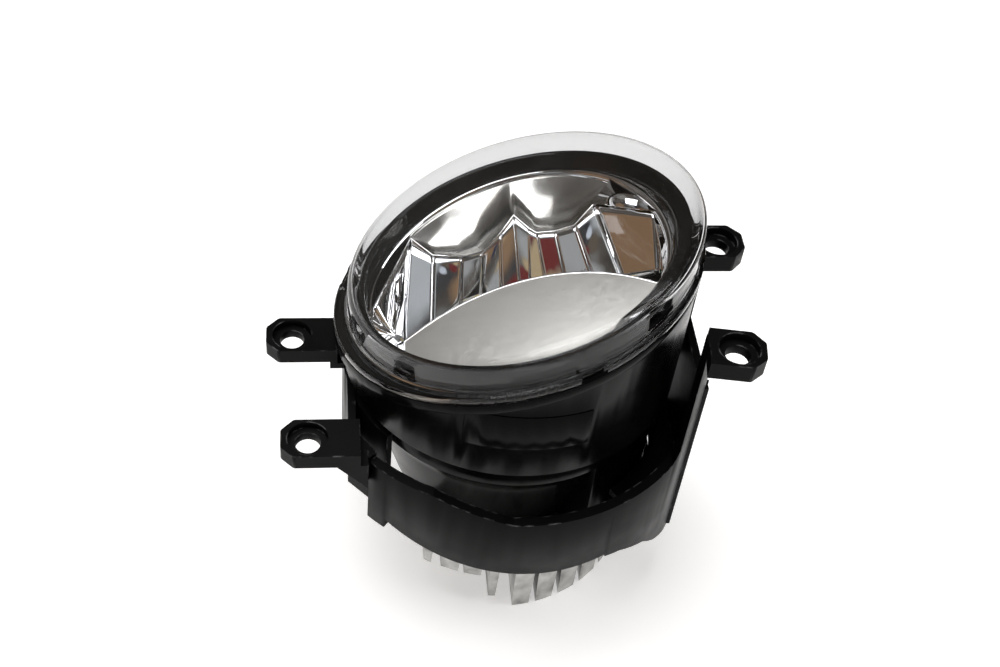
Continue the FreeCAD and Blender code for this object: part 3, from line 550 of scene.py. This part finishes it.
# The small facets that turn the corner at the left end, in the same form.
LEFT_END = (
    (-36.5, -12.5, 0.9, None, -34.2, -13.0, 4),
    (-38.9, -4.5, 0.9, None, -32.5, -8.0, 8),
    (-38.6, 3.5, 0.9, None, -31.2, -3.0, 11),
)
CUP_SAG = 4.4
CUP_RANGE = 4.2                     # a cup is at its full depth where the ridge is this low
CUP_T, FACET_T = 1.2, 0.8
RIDGE_BEAD, SHELF_BEAD = 0.35, 0.5


def on_mirror(x, y, drop):
    """A point at a drop under the reflector's rim plane."""
    return (x, y, height(MIRROR, x, y) - drop)


def make_cups(materials):
    """Two hollows behind the faceted wall, with a soft crest between them."""
    along, across = 12, 26
    edge = [p for p in RIDGE if p[3] is not None]
    line = []
    for p, q in zip(edge, edge[1:]):
        line += [[a + (b - a) * k / along for a, b in zip(p[:4], q[:4])] for k in range(along)]
    line.append(list(edge[-1][:4]))
    verts, faces = [], []
    for k, (x0, y0, drop0, angle) in enumerate(line):
        bearing = math.radians(angle)
        x1, y1 = BOWL_R * math.cos(bearing), BOWL_R * math.sin(bearing)
        depth = min(max((drop0 - RIM_DROP) / CUP_RANGE, 0.0), 1.0)
        sag = CUP_SAG * (0.25 + 0.75 * depth) * math.sin(math.pi * (k + 0.5) / len(line)) ** 0.5
        for i in range(across + 1):
            s = i / across
            drop = drop0 + (RIM_DROP - drop0) * s + sag * math.sin(math.pi * s) * (1 - 0.35 * s)
            verts.append(on_mirror(x0 + (x1 - x0) * s, y0 + (y1 - y0) * s, drop))
    step = across + 1
    for k in range(len(line) - 1):
        for i in range(across):
            a = k * step + i
            faces.append((a, a + step, a + step + 1, a + 1))
    piece = make_piece("reflector_cups", verts, faces, materials["cup_chrome"], "lamp", None,
                       70)
    inside = piece.vertex_groups.new(name="inside")
    middle = [k * step + i for k in range(1, len(line) - 1) for i in range(1, across)]
    inside.add(middle, 1.0, "REPLACE")
    smooth = piece.modifiers.new("smooth", "SMOOTH")
    smooth.vertex_group = "inside"
    smooth.iterations = 25
    thicken(piece, CUP_T)


def thicken(piece, depth):
    """Gives a sheet a thickness, in millimetres, away from the side that shows."""
    shell = piece.modifiers.new("thickness", "SOLIDIFY")
    shell.thickness = depth * MM
    shell.offset = -1


def wall_panel(top_a, top_b, foot_a, foot_b, bow, rows=8, columns=8):
    """One facet of the wall, a little hollow both ways."""
    verts, faces = [], []
    for i in range(rows + 1):
        t = i / rows
        for j in range(columns + 1):
            u = j / columns
            top = [a + (b - a) * u for a, b in zip(top_a, top_b)]
            foot = [a + (b - a) * u for a, b in zip(foot_a, foot_b)]
            point = [a + (b - a) * t for a, b in zip(top, foot)]
            point[1] += bow * (math.sin(math.pi * t) + 0.6 * math.sin(math.pi * u))
            verts.append(tuple(point))
    step = columns + 1
    for i in range(rows):
        for j in range(columns):
            a = i * step + j
            faces.append((a, a + step, a + step + 1, a + 1))
    return verts, faces


# How hollow a facet is, by the left end of its top edge, where that isn't FLAT_BOW.
BOWS = {(-38.6, 3.5): 0.1, (-20.9, 20.9): 0.4, (-7.7, 17.1): 0.25, (17.0, 16.7): 0.2,
        (22.2, 20.6): 0.25}
CORNER = 11                         # the ridge's point on the rim, where no facet edge starts
FLAT_BOW = 0.04
FOOT_REACH_FROM = 12                # feet deeper than this run on below the cover


def make_facets(materials):
    """The faceted wall in front of the cups, panel by panel from left to right."""
    edge = [p for p in LEFT_END + RIDGE if p != RIDGE[CORNER]]
    tops = [on_mirror(*p[:3]) for p in edge]
    feet = []
    for top, p in zip(tops, edge):
        foot = on_mirror(*p[4:])
        reach = FOOT_REACH if p[6] > FOOT_REACH_FROM else 1.0
        feet.append(tuple(a + (b - a) * reach for a, b in zip(top, foot)))
    verts, faces = [], []
    for k in range(len(tops) - 1):
        bow = BOWS.get(edge[k][:2], FLAT_BOW)
        panel = wall_panel(tops[k], tops[k + 1], feet[k], feet[k + 1], bow)
        base = len(verts)
        verts.extend(panel[0])
        faces.extend(tuple(base + i for i in face) for face in panel[1])
    cheek = [on_mirror(*p[:3]) for p in RIDGE[CORNER - 1:CORNER + 2]]
    faces.append(tuple(range(len(verts), len(verts) + 3)))
    verts.extend(cheek)
    piece = make_piece("reflector_facets", verts, faces, materials["reflector_chrome"], "lamp", None,
                       20)
    thicken(piece, FACET_T)


def make_ridge_bead(materials):
    """Rounded bead along the top of the faceted wall."""
    crest = [on_mirror(*p[:3]) for p in LEFT_END + RIDGE]
    make_bead("reflector_ridge", crest, RIDGE_BEAD, materials["reflector_chrome"])


def make_bead(name, points, radius, material):
    """A round bead along a line of points."""
    curve = bpy.data.curves.new(name, "CURVE")
    curve.dimensions = "3D"
    curve.bevel_depth = radius * MM
    curve.bevel_resolution = 4
    curve.use_fill_caps = True
    spline = curve.splines.new("POLY")
    spline.points.add(len(points) - 1)
    for point, place in zip(spline.points, points):
        point.co = (*[v * MM for v in place], 1)
    piece = bpy.data.objects.new(name, curve)
    bpy.context.scene.collection.objects.link(piece)
    curve.materials.append(material)
    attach(piece, "lamp")


def make_mirror_rim(materials):
    """Rounded rim of the reflector, with a second thin line just inside it."""
    shape = ((BOWL_R - 0.1, -6.0), (BOWL_R, -0.9), (BOWL_R + 0.25, -0.2), (BOWL_R + 0.6, 0.0),
             (BOWL_R + 0.8, -0.35), (BOWL_R + 1.0, 0.0), (MIRROR_R - 0.3, 0.0), (MIRROR_R, -0.4),
             (MIRROR_R, -1.6), (MIRROR_R - 0.8, -1.6), (MIRROR_R - 0.8, -6.0))
    profile = [(r, MIRROR, lift, OPTICS_AT) for r, lift in shape]
    verts, faces = ring_mesh(profile)
    make_piece("reflector_rim", verts, faces, materials["reflector_chrome"], "lamp", "reflector",
               50)


# ---- shelf ------------------------------------------------------------------------------------
SHELF_R, SHELF_T = 38.6, 1.5
SHELF_HALF = 35.0
SHELF_EDGE_R, SHELF_EDGE_C = 55.2, (-1.0, -58.2)            # arc of the edge towards the facets
SHELF_BALL_R, SHELF_RISE, SHELF_MID_Y = 200.0, 1.0, -17.0   # dome


def shelf_top(x, y):
    return SHELF_RISE - (x * x + (y - SHELF_MID_Y) ** 2) / (2 * SHELF_BALL_R)


def shelf_edge_y(x):
    return SHELF_EDGE_C[1] + math.sqrt(SHELF_EDGE_R ** 2 - (x - SHELF_EDGE_C[0]) ** 2)


def make_shelf(materials):
    """Satin cover, domed, with a bright rolled edge towards the facets."""
    columns, rows = 96, 28
    verts, faces = [], []
    for j in range(columns + 1):
        x = -SHELF_HALF + 2 * SHELF_HALF * j / columns
        y_top = shelf_edge_y(x)
        y_low = -math.sqrt(SHELF_R ** 2 - x * x)
        for i in range(rows + 1):
            y = y_top + (y_low - y_top) * i / rows
            verts.append(on_mirror(x, y, -shelf_top(x, y)))
    step = rows + 1
    for j in range(columns):
        for i in range(rows):
            a = j * step + i
            faces.append((a, a + 1, a + step + 1, a + step))
    piece = make_piece("satin_shelf_cover", verts, faces, materials["satin_silver"], "lamp",
                       "shelf_cover", 60)
    thicken(piece, SHELF_T)
    lip = []
    for j in range(columns + 1):
        x = -SHELF_HALF + 2 * SHELF_HALF * j / columns
        y = shelf_edge_y(x)
        lip.append(on_mirror(x, y - 0.2, 0.35 - shelf_top(x, y)))
    make_bead("shelf_edge", lip, SHELF_BEAD, materials["reflector_chrome"])


# ---- CAD nodes that stay ------------------------------------------------------------------------
def soften(node, width, segments=2):
    """Rounded edges on a CAD node, by modifiers only."""
    o = NODES[node]
    weld = o.modifiers.new("weld", "WELD")
    weld.merge_threshold = 0.00001
    bevel = o.modifiers.new("round_edges", "BEVEL")
    bevel.width = width
    bevel.segments = segments
    bevel.limit_method = "ANGLE"
    bevel.angle_limit = math.radians(35.0)
    bevel.harden_normals = True
    bevel.use_clamp_overlap = True


def dress_cad_nodes(materials):
    for sub in frame["record"]["subparts"]:
        o = NODES[sub["node"]]
        o.data.materials.clear()
        o.data.materials.append(materials[sub["material_slot"]])
    soften("mounting_bracket", 0.0005)
    soften("heat_sink", 0.0009, 3)
    soften("lamp_housing", 0.0003)


make_camera()
make_world()
make_stage()
MATERIALS = make_materials()
dress_cad_nodes(MATERIALS)
make_lens(MATERIALS)
make_bezel(MATERIALS)
make_cups(MATERIALS)
make_facets(MATERIALS)
make_ridge_bead(MATERIALS)
make_mirror_rim(MATERIALS)
make_shelf(MATERIALS)
